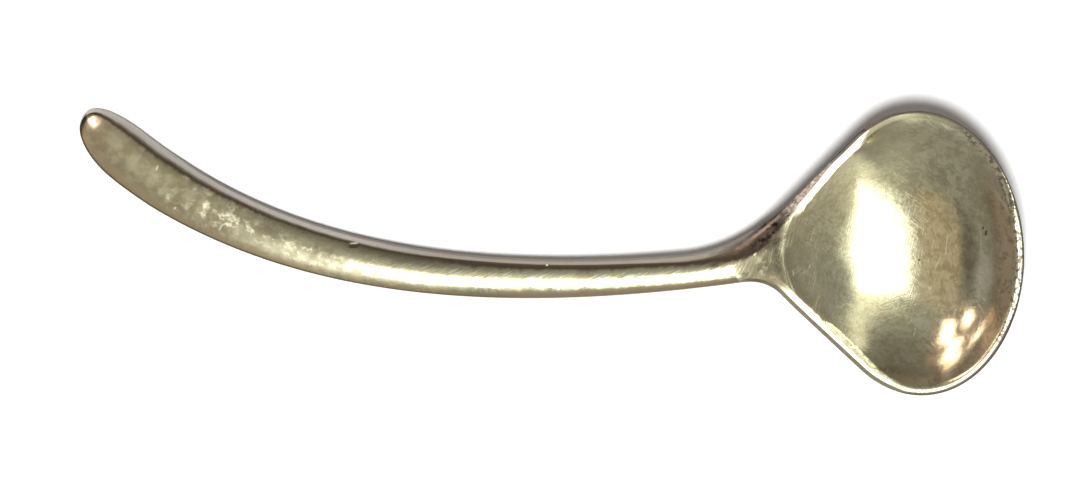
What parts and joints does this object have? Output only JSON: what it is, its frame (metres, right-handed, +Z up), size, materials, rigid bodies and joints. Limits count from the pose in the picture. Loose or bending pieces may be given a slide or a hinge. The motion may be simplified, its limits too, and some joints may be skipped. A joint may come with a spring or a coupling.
{
  "type": "salt spoon",
  "caption": "Small hand-made silver salt spoon: a dished pear-shaped bowl with a flat rim, and a bar handle that tapers to the neck, bows sideways and is soldered to it.",
  "frame": {"origin": "centre of the bounding box on the table the spoon rests on", "axes": "+X from the handle's tip to the bowl, +Z up from the table, +Y to the side the tip bows to"},
  "size_m": [0.07, 0.022, 0.0059],
  "materials": {
    "bowl_silver": "silver, polished and lightly tarnished to a warm olive",
    "handle_silver": "silver, hand polished, mottled with tarnish",
    "solder": "hard silver solder, pitted and dark with tarnish"
  },
  "bodies": {
    "root": {"bowl": "bowl_silver", "handle": "handle_silver", "solder_seam": "solder"}
  },
  "joints": []
}
